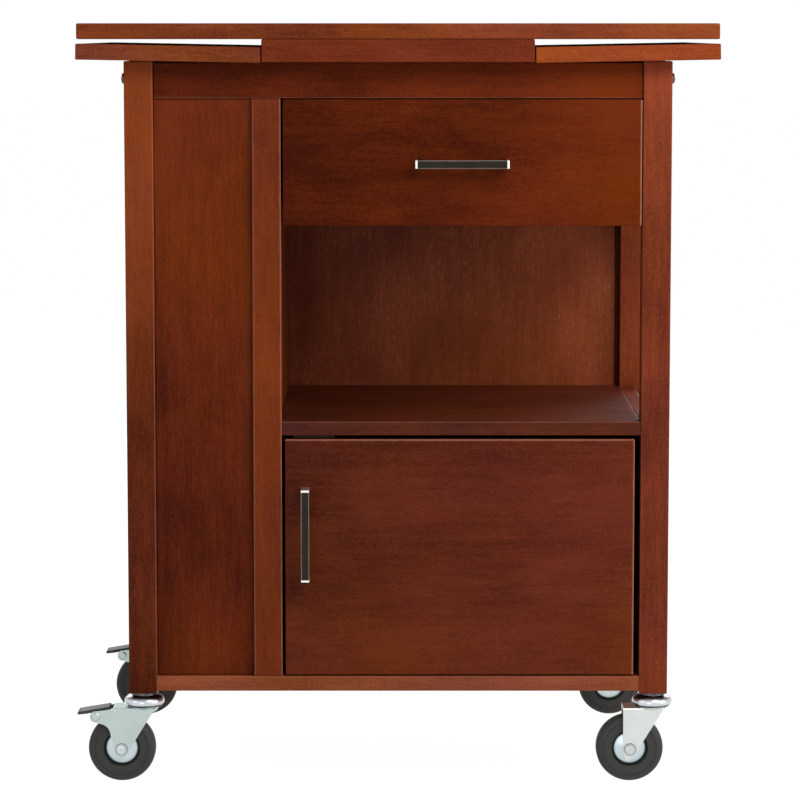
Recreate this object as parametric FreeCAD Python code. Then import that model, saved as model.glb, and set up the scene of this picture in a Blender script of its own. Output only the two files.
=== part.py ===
"""A microwave cart: a stained wood case on four swivel castors, with a draw-leaf top, a drawer,
an open bay, a cupboard door hung on the right and a side rack reached from the left.

Millimetres. x runs to the right, y to the back and z up; the front of the case faces -y.
The origin is on the floor, under the middle of the case. Everything is drawn at rest:
leaves stowed, drawer and door shut, castors trailing to the left, brake pedals down.
"""
import FreeCAD, Part
import math
import os
from FreeCAD import Vector

# --- case -------------------------------------------------------------------------------------
CASE_WIDTH = 610.0        # over the outer faces of the legs
CASE_DEPTH = 400.0        # over the front and back faces of the legs
LEG = 32.0                # square section of a leg
LEG_BOTTOM = 102.5        # standing height of a castor
LEG_TOP = 816.2
ARRIS = 1.2               # rounding of a machined wood edge
BOARD = 18.0              # thickness of the rails and side panels
RAIL_LOW = 775.0
RAIL_TOP = 815.2
RAIL_RELIEF = 1.2         # the rails are planed lower under the leaves
FRONT_SET_BACK = 3.0      # front rail behind the faces of the legs
SHADOW_GAP = 0.6          # sight gap between a front rail's end and a leg
BOTTOM_LOW = 105.4
BOTTOM_TOP = 122.5
SHELF_LOW = 397.3
SHELF_TOP = 413.0
STILE = (-163.0, -131.0)
STILE_FACE = -199.0
STILE_BACK = -181.0
PARTITION = (-149.8, -134.8)
TALL_PANEL_FACE = -193.0
TALL_PANEL_THICK = 10.0
BACK_FACE = 186.0
BACK_THICK = 6.0
BACK_HALF = 268.0         # the back panel stops 5 mm short of each leg
BATTEN_WIDTH = 18.0
UPPER_PANEL_LOW = 636.0   # just above the drawer front's lower edge, so it stays out of sight

# --- side rack --------------------------------------------------------------------------------
RACK_SHELVES = (330.0, 545.0)
RACK_SHELF_THICK = 15.0
RACK_RAIL_RISE = 48.0     # height of a retaining rail over its tier
RACK_RAIL_RADIUS = 5.0
RACK_RAIL_X = -285.0
RACK_RAIL_TENON = 8.0     # how far a retaining rail goes into a leg

# --- top --------------------------------------------------------------------------------------
TOP_WIDTH = 709.0
TOP_DEPTH = 460.0
OVERALL_HEIGHT = 858.0
TOP_THICK = 17.5
TOP_REST_GAP = 0.05       # hairline between the loose top and the centre board
CENTRE_HALF = 150.7
LEAF_INNER = 152.1
LEAF_LENGTH = 203.7
LEAF_THICK = 17.5
LEAF_TILT = 1.05          # degrees; the outer end is the higher one
LEAF_LOW = 814.4          # underside of a leaf at its inner edge
LEAF_TRAVEL = 205.0
RUNNER_WIDTH = 20.0
RUNNER_HEIGHT = 20.0
RUNNER_INWARD = 242.0     # reach of a runner past the leaf's inner edge
RUNNER_OUTWARD = 150.0    # short of the outer faces of the legs, so it stays out of sight
RUNNER_PLAY = 0.3
RIGHT_RUNNER_Y = 120.0    # the two leaves' runners pass side by side
LEFT_RUNNER_Y = 150.0
STOP_BLOCK = (20.0, 12.0, 16.0)
STOP_PLAY = 1.0
BEARER_HALF = 15.0
BEARER_TOP = 791.1
DOWEL_RADIUS = 5.0
DOWEL_X = 100.0
DOWEL_LOW = 787.0
DOWEL_IN_TOP = 10.0

# --- drawer -----------------------------------------------------------------------------------
DRAWER_FRONT = ((-128.7, 271.9), (-199.0, -181.0), (633.3, 774.0))
SLIDE_SPACE = 13.0        # width of a side-mounted drawer slide
BOX_SIDE = 12.0
BOX_LOW = 650.0
BOX_TOP = 755.0
BOX_BACK = 150.0
BOX_BOTTOM_RISE = 6.0
BOX_BOTTOM_THICK = 5.0
GROOVE = 6.0
SLIDE_Z = 702.5
SLIDE_FRONT = -176.0

# --- door -------------------------------------------------------------------------------------
DOOR = ((-127.5, 266.3), (-199.0, -183.0), (124.2, 393.0))
HINGE_HEIGHTS = (184.0, 333.0)
CUP_X = 243.8
CUP_RADIUS = 17.5
CUP_DEPTH = 11.0

# --- pulls ------------------------------------------------------------------------------------
PULL_LENGTH = 104.5
PULL_PITCH = 96.0
PULL_WIDTH = 9.6
PULL_THICK = 6.5
PULL_STAND = 28.0
DRAWER_PULL = (71.2, 702.6)
DOOR_PULL = (-104.3, 286.7)

# --- bolts ------------------------------------------------------------------------------------
BOLT_Z = 797.0
BOLT_HEAD_RADIUS = 6.2
BOLT_HEAD_HEIGHT = 4.0
BOLT_RADIUS = 3.0
BOLT_REACH = 40.0         # into the end of a rail
BARREL_RADIUS = 5.0
BARREL_LENGTH = 14.0
BARREL_DEPTH = 16.0       # of its hole, from the inner face of the rail
BARREL_FROM_TIP = 8.0     # from the bolt's tip to the middle of its cross nut

# --- castors, in a frame with its origin on the floor under the wheel ---------------------------
WHEEL_RADIUS = 38.1
TYRE_HALF = 12.0
TRAIL = 25.5
HUB_BORE = 4.06
AXLE_RADIUS = 4.0
FORK_INSIDE = 14.0
FORK_PLATE = 2.2
CROWN_LOW = 83.5
CROWN_TOP = 86.0
CROWN_RADIUS = 18.5
CROWN_RIGHT = 42.0
CROWN_LEFT = -9.0
FORK_EYE = 8.0            # radius of the fork's rounded end at the axle
KINGPIN_RADIUS = 4.0
KINGPIN_PLAY = 0.08
DOME_RADIUS = 22.7
DOME_NECK = 15.6
DOME_LOW = 87.5
STEM_RADIUS = 5.0
STEM_TOP = 134.5
SOCKET_RADIUS = 6.5
PIVOT = (-29.1, 75.5)     # brake pedal's pin, x and z
PIVOT_RADIUS = 3.0
PIVOT_PLAY = 0.08
LUG_RADIUS = 6.3
PAD_HALF = 12.0
LEVER_HALF = 9.0

LEG_X = CASE_WIDTH / 2 - LEG / 2
LEG_Y = CASE_DEPTH / 2 - LEG / 2
INNER_X = CASE_WIDTH / 2 - LEG
INNER_Y = CASE_DEPTH / 2 - LEG
PANEL_X = INNER_X + BOARD
WHEEL_Z = WHEEL_RADIUS
FORK_OUTSIDE = FORK_INSIDE + FORK_PLATE
X_AXIS, Y_AXIS, Z_AXIS = Vector(1, 0, 0), Vector(0, 1, 0), Vector(0, 0, 1)


# --- small shapes -----------------------------------------------------------------------------
def block(x, y, z, rounding=0.0):
    """A box between three (low, high) pairs, with all its edges rounded if asked."""
    size = [high - low for low, high in (x, y, z)]
    shape = Part.makeBox(*size, Vector(x[0], y[0], z[0]))
    return shape.makeFillet(rounding, shape.Edges) if rounding else shape


def board(x, y, z):
    return block(x, y, z, ARRIS)


def rod(radius, start, end):
    start, end = Vector(*start), Vector(*end)
    return Part.makeCylinder(radius, (end - start).Length, start, end - start)


def domed_head(radius, height, centre, outward):
    """A low mushroom head: its flat face at centre, its crown pointing outward."""
    rim, crown = Vector(radius, 0, 0), Vector(0, 0, height)
    shoulder = Vector(radius * 0.74, 0, height * 0.68)
    edges = [
        Part.LineSegment(Vector(0, 0, 0), rim).toShape(),
        Part.Arc(rim, shoulder, crown).toShape(),
        Part.LineSegment(crown, Vector(0, 0, 0)).toShape(),
    ]
    head = Part.Face(Part.Wire(edges)).revolve(Vector(0, 0, 0), Z_AXIS, 360)
    turn = FreeCAD.Rotation(Z_AXIS, Vector(*outward))
    return head.transformGeometry(FreeCAD.Placement(Vector(*centre), turn).toMatrix())


def turned(points, base, axis):
    """A solid of revolution from a closed outline; a point given as a pair of points is an arc."""
    return Part.Face(outline(points)).revolve(base, axis, 360)


def outline(points):
    """A closed wire. An entry that holds two points is an arc through the first to the second."""
    last = points[-1][1] if isinstance(points[-1], tuple) else points[-1]
    edges, here = [], last
    for entry in points:
        if isinstance(entry, tuple):
            edges.append(Part.Arc(here, *entry).toShape())
            here = entry[1]
        else:
            edges.append(Part.LineSegment(here, entry).toShape())
            here = entry
    return Part.Wire(edges)


def mirrored_x(shape):
    return shape.mirror(Vector(0, 0, 0), X_AXIS)


def mirrored_y(shape):
    return shape.mirror(Vector(0, 0, 0), Y_AXIS)


def one(shapes):
    """One solid out of touching ones."""
    return shapes[0].multiFuse(shapes[1:]).removeSplitter()


def group(shapes):
    """Separate solids that share a node."""
    return Part.makeCompound(shapes)


# --- case -------------------------------------------------------------------------------------
def leg(side, end):
    """A leg; side is -1 for the left and 1 for the right, end is -1 for the front."""
    x = sorted((side * INNER_X, side * CASE_WIDTH / 2))
    y = sorted((end * INNER_Y, end * CASE_DEPTH / 2))
    shape = board(x, y, (LEG_BOTTOM, LEG_TOP))
    holes = [
        rod(SOCKET_RADIUS, (side * LEG_X, end * LEG_Y, LEG_BOTTOM), (side * LEG_X, end * LEG_Y, STEM_TOP)),
        bolt_hole(side, end),
    ]
    if side < 0:
        holes += [rack_rail(z) for z in rack_rail_heights()]
    return shape.cut(holes)


def rail_middle():
    return CASE_DEPTH / 2 - FRONT_SET_BACK - BOARD / 2


def bolt_hole(side, end):
    y = end * rail_middle()
    reach = (INNER_X - BOLT_REACH) * side
    return rod(BOLT_RADIUS + 0.3, (reach, y, BOLT_Z), (side * CASE_WIDTH / 2, y, BOLT_Z))


def barrel_place(side, end, length):
    """The ends of a cross nut's axis, or of its hole, from deep in a rail toward its inner face."""
    x, deep = side * (INNER_X - BOLT_REACH + BARREL_FROM_TIP), rail_middle() + BARREL_LENGTH / 2
    return (x, end * deep, BOLT_Z), (x, end * (deep - length), BOLT_Z)


def long_rail(end):
    """The top rail across the front (end -1) or the back (end 1)."""
    half = INNER_X - SHADOW_GAP
    outer = end * (CASE_DEPTH / 2 - FRONT_SET_BACK)
    y = sorted((outer, outer - end * BOARD))
    shape = board((-half, half), y, (RAIL_LOW, RAIL_TOP))
    cuts = []
    for side in (-1, 1):
        cuts.append(bolt_hole(side, end))
        cuts.append(rod(BARREL_RADIUS, *barrel_place(side, end, BARREL_DEPTH)))
        x = sorted((side * CENTRE_HALF, side * INNER_X))
        cuts.append(block(x, y, (RAIL_TOP - RAIL_RELIEF, RAIL_TOP)))
    return shape.cut(cuts)


def frame_bolts():
    """Four domed bolts through the tops of the legs, and the cross nuts that they pull on."""
    solids = []
    for side in (-1, 1):
        for end in (-1, 1):
            y = end * rail_middle()
            face = side * CASE_WIDTH / 2
            shank = rod(BOLT_RADIUS, (side * (INNER_X - BOLT_REACH), y, BOLT_Z), (face, y, BOLT_Z))
            head = domed_head(BOLT_HEAD_RADIUS, BOLT_HEAD_HEIGHT, (face, y, BOLT_Z), (side, 0, 0))
            nut = rod(BARREL_RADIUS, *barrel_place(side, end, BARREL_LENGTH))
            solids += [one([shank, head]), nut.cut(shank)]
    return group(solids)


def side_rail(side, low):
    """A side's upper rail or panel, with a notch for each runner of the leaf on that side."""
    x = sorted((side * INNER_X, side * PANEL_X))
    shape = board(x, (-INNER_Y, INNER_Y), (low, LEG_TOP))
    return shape.cut(leaf_runners(side, RUNNER_PLAY))


def right_lower_panel():
    return board((INNER_X, PANEL_X), (-INNER_Y, INNER_Y), (BOTTOM_TOP, SHELF_TOP))


def centre_board():
    half = TOP_DEPTH / 2
    z = (RAIL_TOP, OVERALL_HEIGHT - TOP_THICK - TOP_REST_GAP)
    shape = board((-CENTRE_HALF, CENTRE_HALF), (-half, half), z)
    return shape.cut([rod(DOWEL_RADIUS + 0.5, (x, 0, z[0]), (x, 0, z[1])) for x in (-DOWEL_X, DOWEL_X)])


def runner_bearer():
    """The cross bar that carries the inner ends of the stowed runners."""
    half = CASE_DEPTH / 2 - FRONT_SET_BACK - BOARD
    return board((-BEARER_HALF, BEARER_HALF), (-half, half), (RAIL_LOW, BEARER_TOP))


def middle_shelf():
    z = (SHELF_LOW, SHELF_TOP)
    shape = board((PARTITION[1], INNER_X), (-198.0, BACK_FACE), z)
    stile = block(STILE, (-CASE_DEPTH / 2, STILE_BACK), z)
    return shape.cut(stile)


def bottom_board():
    """The floor board, notched round the four legs."""
    z = (BOTTOM_LOW, BOTTOM_TOP)
    shape = board((-PANEL_X, PANEL_X), (-199.0, 199.0), z)
    corners = []
    for side in (-1, 1):
        for end in (-1, 1):
            x = sorted((side * INNER_X, side * CASE_WIDTH / 2))
            y = sorted((end * INNER_Y, end * CASE_DEPTH / 2))
            corners.append(block(x, y, z))
    return shape.cut(corners)


def front_stile():
    return board(STILE, (STILE_FACE, STILE_BACK), (BOTTOM_TOP, RAIL_LOW))


def left_front_panel():
    y = (TALL_PANEL_FACE, TALL_PANEL_FACE + TALL_PANEL_THICK)
    return board((-INNER_X, STILE[0]), y, (BOTTOM_TOP, RAIL_LOW))


def partition():
    return board(PARTITION, (STILE_BACK, BACK_FACE), (BOTTOM_TOP, RAIL_LOW))


def back_panel():
    return board((-BACK_HALF, BACK_HALF), (BACK_FACE, BACK_FACE + BACK_THICK), (BOTTOM_TOP, RAIL_LOW))


def back_battens():
    """An upright batten on each rear leg, behind the back panel's edges."""
    y = (BACK_FACE + BACK_THICK, 199.0)
    right = board((INNER_X - BATTEN_WIDTH, INNER_X), y, (BOTTOM_TOP, RAIL_LOW))
    return group([mirrored_x(right), right])


def rack_shelves():
    solids = []
    for low in RACK_SHELVES:
        z = (low, low + RACK_SHELF_THICK)
        shape = board((-PANEL_X, PARTITION[0]), (TALL_PANEL_FACE + TALL_PANEL_THICK, BACK_FACE), z)
        corners = [
            block((-CASE_WIDTH / 2, -INNER_X), (-CASE_DEPTH / 2, -INNER_Y), z),
            block((-CASE_WIDTH / 2, -INNER_X), (INNER_Y, CASE_DEPTH / 2), z),
            block(STILE, (-CASE_DEPTH / 2, STILE_BACK), z),
        ]
        solids.append(shape.cut(corners))
    return group(solids)


def rack_rail_heights():
    floors = [BOTTOM_TOP] + [low + RACK_SHELF_THICK for low in RACK_SHELVES]
    return [floor + RACK_RAIL_RISE for floor in floors]


def rack_rail(z):
    half = INNER_Y + RACK_RAIL_TENON
    return rod(RACK_RAIL_RADIUS, (RACK_RAIL_X, -half, z), (RACK_RAIL_X, half, z))


def rack_rails():
    return group([rack_rail(z) for z in rack_rail_heights()])


# --- top --------------------------------------------------------------------------------------
def top_board():
    z = (OVERALL_HEIGHT - TOP_THICK, OVERALL_HEIGHT)
    shape = block((-TOP_WIDTH / 2, TOP_WIDTH / 2), (-TOP_DEPTH / 2, TOP_DEPTH / 2), z, 2.0)
    return shape.cut(top_dowels())


def top_dowels():
    """Two pegs glued into the top; they slide in the centre board and keep the loose top in place."""
    high = OVERALL_HEIGHT - TOP_THICK + DOWEL_IN_TOP
    return group([rod(DOWEL_RADIUS, (x, 0, DOWEL_LOW), (x, 0, high)) for x in (-DOWEL_X, DOWEL_X)])


def tilted(shape, side):
    """Takes a shape drawn along +x from a leaf's inner lower edge to its place on either side."""
    shape = shape.copy()
    shape.rotate(Vector(0, 0, 0), Y_AXIS, -LEAF_TILT)
    shape.translate(Vector(LEAF_INNER, 0, LEAF_LOW))
    return shape if side > 0 else mirrored_x(shape)


def leaf(side):
    half = TOP_DEPTH / 2
    return tilted(board((0, LEAF_LENGTH), (-half, half), (0, LEAF_THICK)), side)


def leaf_runners(side, play=0.0):
    """A leaf's two runners, or, with play, the room that they slide in."""
    place = RIGHT_RUNNER_Y if side > 0 else LEFT_RUNNER_Y
    x = (-RUNNER_INWARD, RUNNER_OUTWARD + (40 if play else 0))
    solids = []
    for y in (-place, place):
        wide = (y - RUNNER_WIDTH / 2 - play, y + RUNNER_WIDTH / 2 + play)
        high = (-RUNNER_HEIGHT - play, 5.0 if play else 0.0)
        solids.append(tilted(block(x, wide, high), side))
    return solids


def stop_blocks(side):
    """A block on the flank of each runner that meets the side rail when the leaf is right out."""
    length, thick, tall = STOP_BLOCK
    outer = INNER_X - LEAF_TRAVEL - STOP_PLAY - LEAF_INNER
    flank = RIGHT_RUNNER_Y - RUNNER_WIDTH / 2 - thick if side > 0 else LEFT_RUNNER_Y + RUNNER_WIDTH / 2
    near = block((outer - length, outer), (flank, flank + thick), (-tall - 2, -2))
    return [tilted(near, side), tilted(mirrored_y(near), side)]


def leaf_runner_group(side):
    return group(leaf_runners(side) + stop_blocks(side))


# --- pulls ------------------------------------------------------------------------------------
def pull(centre, upright, front_face, panel_thick):
    """A square bar pull with its two screws; drawn along x and turned upright for the door."""
    half, wide = PULL_LENGTH / 2, PULL_WIDTH / 2
    bar = block((-half, half), (-PULL_STAND, -PULL_STAND + PULL_THICK), (-wide, wide))
    foot = PULL_LENGTH - PULL_PITCH
    feet = [
        block(sorted((side * half, side * (half - foot))), (-PULL_STAND, 0), (-wide, wide))
        for side in (-1, 1)
    ]
    body = one([bar] + feet)
    outer = [e for e in body.Edges if e.BoundBox.YMax < 1 - PULL_STAND]
    solids = [body.makeFillet(0.8, outer)]
    for side in (-1, 1):
        x = side * PULL_PITCH / 2
        shank = rod(2.0, (x, 0, 0), (x, panel_thick, 0))
        head = rod(4.0, (x, panel_thick, 0), (x, panel_thick + 1.8, 0))
        solids.append(one([shank, head]))
    shape = group(solids)
    if upright:
        shape.rotate(Vector(0, 0, 0), Y_AXIS, 90)
    shape.translate(Vector(centre[0], front_face, centre[1]))
    return shape


def screw_holes(centre, upright, y):
    holes = []
    for side in (-1, 1):
        step = side * PULL_PITCH / 2
        x = centre[0] + (0 if upright else step)
        z = centre[1] + (step if upright else 0)
        holes.append(rod(2.0, (x, y[0], z), (x, y[1], z)))
    return holes


# --- drawer -----------------------------------------------------------------------------------
BOX_LEFT = PARTITION[1] + SLIDE_SPACE
BOX_RIGHT = INNER_X - SLIDE_SPACE
BOX_FRONT = DRAWER_FRONT[1][1]


def drawer_bottom():
    z = (BOX_LOW + BOX_BOTTOM_RISE, BOX_LOW + BOX_BOTTOM_RISE + BOX_BOTTOM_THICK)
    inset = BOX_SIDE - GROOVE
    return block((BOX_LEFT + inset, BOX_RIGHT - inset), (BOX_FRONT - GROOVE, BOX_BACK - inset), z)


def drawer_front():
    holes = screw_holes(DRAWER_PULL, False, DRAWER_FRONT[1])
    return board(*DRAWER_FRONT).cut(holes + [drawer_bottom()])


def drawer_side(side):
    outer = BOX_RIGHT if side > 0 else BOX_LEFT
    x = sorted((outer, outer - side * BOX_SIDE))
    return block(x, (BOX_FRONT, BOX_BACK), (BOX_LOW, BOX_TOP)).cut(drawer_bottom())


def drawer_back():
    x = (BOX_LEFT + BOX_SIDE, BOX_RIGHT - BOX_SIDE)
    return block(x, (BOX_BACK - BOX_SIDE, BOX_BACK), (BOX_LOW, BOX_TOP)).cut(drawer_bottom())


def channel(wall, inward, depth, tall):
    """A drawer slide member: a web against a wall and two lips that point inward."""
    skin = 1.2
    y = (SLIDE_FRONT, BOX_BACK)
    low, high = SLIDE_Z - tall / 2, SLIDE_Z + tall / 2
    web = block(sorted((wall, wall + inward * skin)), y, (low, high))
    lips = [
        block(sorted((wall, wall + inward * depth)), y, z)
        for z in ((low, low + skin), (high - skin, high))
    ]
    return one([web] + lips)


def case_drawer_runners():
    return group([channel(PARTITION[1], 1, 11.0, 35.0), channel(INNER_X, -1, 11.0, 35.0)])


def drawer_slides():
    return group([channel(BOX_LEFT, -1, 8.5, 26.0), channel(BOX_RIGHT, 1, 8.5, 26.0)])


# --- door -------------------------------------------------------------------------------------
def door_panel():
    back = DOOR[1][1]
    cups = [rod(CUP_RADIUS, (CUP_X, back - CUP_DEPTH, z), (CUP_X, back, z)) for z in HINGE_HEIGHTS]
    return board(*DOOR).cut(cups + screw_holes(DOOR_PULL, True, DOOR[1]))


def hinge_cups():
    """Concealed hinges, the half on the door: a cup sunk in its back, a flange and a short link."""
    solids = []
    back = DOOR[1][1]
    for z in HINGE_HEIGHTS:
        cup = rod(CUP_RADIUS, (CUP_X, back - CUP_DEPTH, z), (CUP_X, back, z))
        cup = cup.cut(rod(CUP_RADIUS - 1.5, (CUP_X, back - CUP_DEPTH + 1.5, z), (CUP_X, back, z)))
        flange = block((CUP_X - 12, CUP_X + 12), (back, back + 1.5), (z - 26, z + 26))
        flange = flange.cut(block((CUP_X - 9, CUP_X + 9), (back, back + 1.5), (z - 10, z + 10)))
        link = block((CUP_X - 4, CUP_X + 15), (back - CUP_DEPTH + 1.5, back + 17), (z - 6, z + 6))
        link = link.cut(block((CUP_X + 8, CUP_X + 16), (back - CUP_DEPTH, back + 6), (z - 7, z + 7)))
        solids.append(one([cup, flange, link]))
    return group(solids)


def hinge_arms():
    """The half on the case: a plate screwed to the side panel and the arm clipped to it."""
    solids = []
    for z in HINGE_HEIGHTS:
        plate = block((INNER_X - 2.5, INNER_X), (-152.0, -98.0), (z - 18, z + 18))
        arm = block((INNER_X - 12, INNER_X - 2.5), (-160.0, -100.0), (z - 6, z + 6), 1.0)
        solids.append(one([plate, arm]))
    return group(solids)


def door_catch():
    """A magnetic catch under the shelf, behind the door's free corner."""
    return block((-118.0, -72.0), (-181.0, -167.0), (SHELF_LOW - 12.0, SHELF_LOW))


def door_strike():
    return block((-113.0, -77.0), (DOOR[1][1], DOOR[1][1] + 1.4), (379.0, 391.5))


# --- castors ----------------------------------------------------------------------------------
def at(x, z, y=0.0):
    return Vector(x, y, z)


def placed(shape, side, end):
    """Takes a castor piece from its own frame to the leg that carries it."""
    shape = shape.copy()
    shape.translate(Vector(side * LEG_X - TRAIL, end * LEG_Y, 0))
    return shape


def castor_stem():
    """The fixed half: a threaded stem that ends below in a rivet head, and the dome over the balls."""
    stem = one([
        rod(STEM_RADIUS, (TRAIL, 0, DOME_LOW), (TRAIL, 0, STEM_TOP)),
        rod(KINGPIN_RADIUS, (TRAIL, 0, CROWN_LOW - 0.2), (TRAIL, 0, DOME_LOW)),
        rod(7.0, (TRAIL, 0, CROWN_LOW - 3.2), (TRAIL, 0, CROWN_LOW - 0.2)),
    ])
    profile = [
        at(TRAIL + STEM_RADIUS, DOME_LOW),
        at(TRAIL + DOME_RADIUS - 0.8, DOME_LOW),
        at(TRAIL + DOME_RADIUS, DOME_LOW + 0.8),
        at(TRAIL + DOME_RADIUS, DOME_LOW + 3.0),
        (at(TRAIL + 20.6, 97.2), at(TRAIL + DOME_NECK, LEG_BOTTOM)),
        at(TRAIL + STEM_RADIUS, LEG_BOTTOM),
    ]
    return group([stem, turned(profile, at(TRAIL, 0), Z_AXIS)])


def castor_sockets():
    """The threaded sleeve in the foot of each leg."""
    sleeve = rod(SOCKET_RADIUS, (TRAIL, 0, LEG_BOTTOM), (TRAIL, 0, STEM_TOP))
    sleeve = sleeve.cut(rod(STEM_RADIUS, (TRAIL, 0, LEG_BOTTOM), (TRAIL, 0, STEM_TOP)))
    return group([placed(sleeve, side, end) for side in (-1, 1) for end in (-1, 1)])


def eye_and_right_edge():
    """The part of the fork's side outline that both kinds share: the eye, the slope and the crown."""
    slope = math.radians(54.6)
    leave = at(FORK_EYE * math.sin(slope), WHEEL_Z - FORK_EYE * math.cos(slope))
    return [
        at(-FORK_EYE, WHEEL_Z),
        (at(0, WHEEL_Z - FORK_EYE), leave),
        at(40.1, 80.6),
        at(CROWN_RIGHT, 82.8),
        at(CROWN_RIGHT, CROWN_TOP),
    ]


def fork_outline(braked):
    if not braked:
        return eye_and_right_edge() + [at(-FORK_EYE, CROWN_TOP)]
    px, pz = PIVOT
    lug_low = at(px + 1.5, pz - LUG_RADIUS)
    return eye_and_right_edge() + [
        at(CROWN_LEFT, CROWN_TOP),
        at(-10.5, 84.4),
        at(px, pz + LUG_RADIUS),
        (at(px - LUG_RADIUS, pz), lug_low),
        at(-19.5, 66.6),
        (at(-13.4, 60.2), at(-12.0, 53.5)),
    ]


def fork_channel():
    """The folded strip that the fork is cut from: a U upside down, rounded at its two bends."""
    bend, low = 2.6, WHEEL_Z - FORK_EYE - 1
    points = [
        Vector(-60, -FORK_OUTSIDE, low),
        Vector(-60, -FORK_OUTSIDE, CROWN_TOP - bend),
        (Vector(-60, -FORK_OUTSIDE + 0.3 * bend, CROWN_TOP - 0.3 * bend),
         Vector(-60, -FORK_OUTSIDE + bend, CROWN_TOP)),
        Vector(-60, FORK_OUTSIDE - bend, CROWN_TOP),
        (Vector(-60, FORK_OUTSIDE - 0.3 * bend, CROWN_TOP - 0.3 * bend),
         Vector(-60, FORK_OUTSIDE, CROWN_TOP - bend)),
        Vector(-60, FORK_OUTSIDE, low),
        Vector(-60, FORK_INSIDE, low),
        Vector(-60, FORK_INSIDE, CROWN_LOW),
        Vector(-60, -FORK_INSIDE, CROWN_LOW),
        Vector(-60, -FORK_INSIDE, low),
    ]
    return Part.Face(outline(points)).extrude(Vector(120, 0, 0))


def across(radius, x, z, half):
    return rod(radius, (x, -half, z), (x, half, z))


def castor_fork(braked):
    """The swivelling fork with its axle bolt, and on a braked castor the pedal's pin."""
    side_view = Part.Face(outline(fork_outline(braked))).extrude(Vector(0, 2 * FORK_OUTSIDE, 0))
    side_view.translate(Vector(0, -FORK_OUTSIDE, 0))
    race = rod(CROWN_RADIUS, (TRAIL, 0, CROWN_LOW), (TRAIL, 0, CROWN_TOP + 1.2))
    race = race.cut(rod(12.0, (TRAIL, 0, CROWN_TOP), (TRAIL, 0, CROWN_TOP + 2)))
    fork = one([fork_channel().common(side_view), race])
    holes = [
        block((-60, CROWN_LEFT), (-FORK_INSIDE, FORK_INSIDE), (CROWN_LOW - 2, CROWN_TOP + 2)),
        rod(KINGPIN_RADIUS + KINGPIN_PLAY, (TRAIL, 0, CROWN_LOW - 5), (TRAIL, 0, CROWN_TOP + 5)),
        across(AXLE_RADIUS, 0, WHEEL_Z, 30),
    ]
    pins = [axle()]
    if braked:
        holes.append(across(PIVOT_RADIUS, *PIVOT, 30))
        pins.append(pivot_pin())
    return group([fork.cut(holes)] + pins)


def axle():
    """The axle bolt, with a low round head at the front and a nut behind."""
    head = rod(6.2, (0, -FORK_OUTSIDE, WHEEL_Z), (0, -FORK_OUTSIDE - 2.4, WHEEL_Z))
    nut = rod(6.2, (0, FORK_OUTSIDE, WHEEL_Z), (0, FORK_OUTSIDE + 4.0, WHEEL_Z))
    return one([across(AXLE_RADIUS, 0, WHEEL_Z, FORK_OUTSIDE), head, nut])


def pivot_pin():
    px, pz = PIVOT
    heads = [domed_head(4.5, 1.8, (px, way * FORK_OUTSIDE, pz), (0, way, 0)) for way in (-1, 1)]
    return one([across(PIVOT_RADIUS, px, pz, FORK_OUTSIDE)] + heads)


def on_axle(radius, y):
    return Vector(radius, y, WHEEL_Z)


def castor_hub():
    """The wheel's centre: a bored boss, two dished steel discs and the core between them."""
    half = [
        on_axle(HUB_BORE, 13.6),
        on_axle(7.0, 13.6),
        on_axle(7.4, 11.4),
        on_axle(18.0, 10.8),
        on_axle(18.7, 10.2),
        on_axle(18.7, 9.0),
        on_axle(16.5, 9.0),
    ]
    other = [Vector(p.x, -p.y, p.z) for p in reversed(half)]
    return turned(half + other, on_axle(0, 0), Y_AXIS)


def castor_tyre():
    """A solid rubber tyre: flat flanks with a recess round the disc, rounded at the tread."""
    tread = WHEEL_RADIUS
    points = [
        on_axle(16.5, 9.0),
        on_axle(20.2, 9.0),
        on_axle(21.2, TYRE_HALF),
        on_axle(31.0, TYRE_HALF),
        (on_axle(36.2, 9.4), on_axle(tread, 4.0)),
        on_axle(tread, -4.0),
        (on_axle(36.2, -9.4), on_axle(31.0, -TYRE_HALF)),
        on_axle(21.2, -TYRE_HALF),
        on_axle(20.2, -9.0),
        on_axle(16.5, -9.0),
    ]
    return turned(points, on_axle(0, 0), Y_AXIS)


def swept_across(points, half):
    shape = Part.Face(outline(points)).extrude(Vector(0, 2 * half, 0))
    shape.translate(Vector(0, -half, 0))
    return shape


def brake_pedal():
    """The steel lever with its cam beside the tyre, and the plastic pad pushed over its end."""
    px, pz = PIVOT
    pad = swept_across([
        at(-50.0, 77.4),
        at(-50.0, 80.0),
        at(-48.6, 81.0),
        at(-14.2, 86.7),
        at(-13.2, 86.0),
        at(-13.2, 83.0),
        at(-33.5, 79.6),
        at(-38.4, 78.4),
    ], PAD_HALF)
    to_wheel = Vector(-px, 0, WHEEL_Z - pz).normalize()
    aside = Vector(-to_wheel.z, 0, to_wheel.x)
    centre = at(px, pz)
    tip = centre + to_wheel * 8.7
    lever = swept_across([
        at(-35.0, 79.2),
        at(-35.2, 75.4),
        at(-33.6, 71.6),
        tip - aside * 2.2,
        tip + aside * 2.2,
        at(-21.6, 76.0),
        at(-17.0, 80.6),
        at(-17.0, 82.3),
    ], LEVER_HALF)
    lever = lever.cut([across(PIVOT_RADIUS + PIVOT_PLAY, px, pz, 30), pad])
    return group([lever, pad])


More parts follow.
